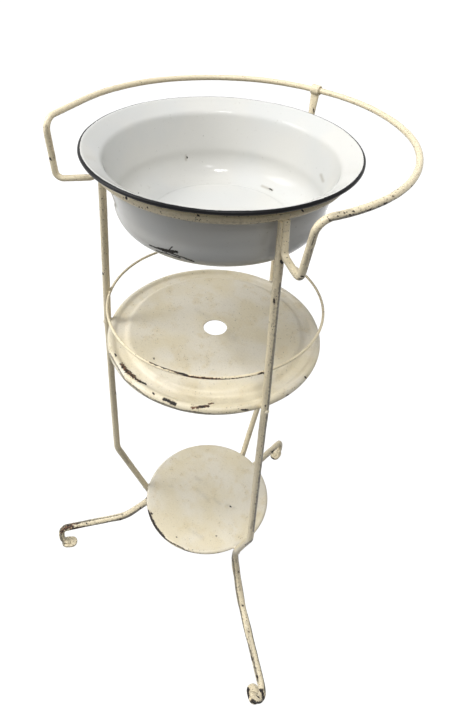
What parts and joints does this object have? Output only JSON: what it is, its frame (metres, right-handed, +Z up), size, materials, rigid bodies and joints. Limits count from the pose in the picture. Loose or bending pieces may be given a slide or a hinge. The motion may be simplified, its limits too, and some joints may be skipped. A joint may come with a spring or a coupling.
{
  "type": "wash basin stand",
  "caption": "Bent iron wash basin stand: splayed legs, a ring holding a loose enamelled basin, a towel rail round the back, a tray with a gallery hoop and a lower shelf.",
  "frame": {"origin": "on the floor, in the middle of the footprint: halfway between the basin's front edge and the tip of the back foot", "axes": "+Z up, -Y towards the open front between the two front legs, +X to the right as seen from the front"},
  "size_m": [0.4624, 0.444, 0.8502],
  "materials": {
    "cream_paint": "old cream paint on wrought iron, chipped and rusty in places",
    "white_enamel": "glossy white vitreous enamel on sheet steel, with a black rim"
  },
  "bodies": {
    "stand": {"support_ring": "cream_paint", "front_right_leg": "cream_paint", "front_left_leg": "cream_paint", "back_leg": "cream_paint", "towel_rail": "cream_paint", "rail_back_stay": "cream_paint", "gallery_hoop": "cream_paint", "tray": "cream_paint", "tray_rivets": "cream_paint", "lower_shelf": "cream_paint", "shelf_rivets": "cream_paint"},
    "basin": {"basin": "white_enamel"}
  },
  "joints": [
    {"name": "basin_lift", "type": "slide", "parent": "stand", "child": "basin", "axis": [0, 0, 1], "range_m": [0, 0.15]}
  ]
}
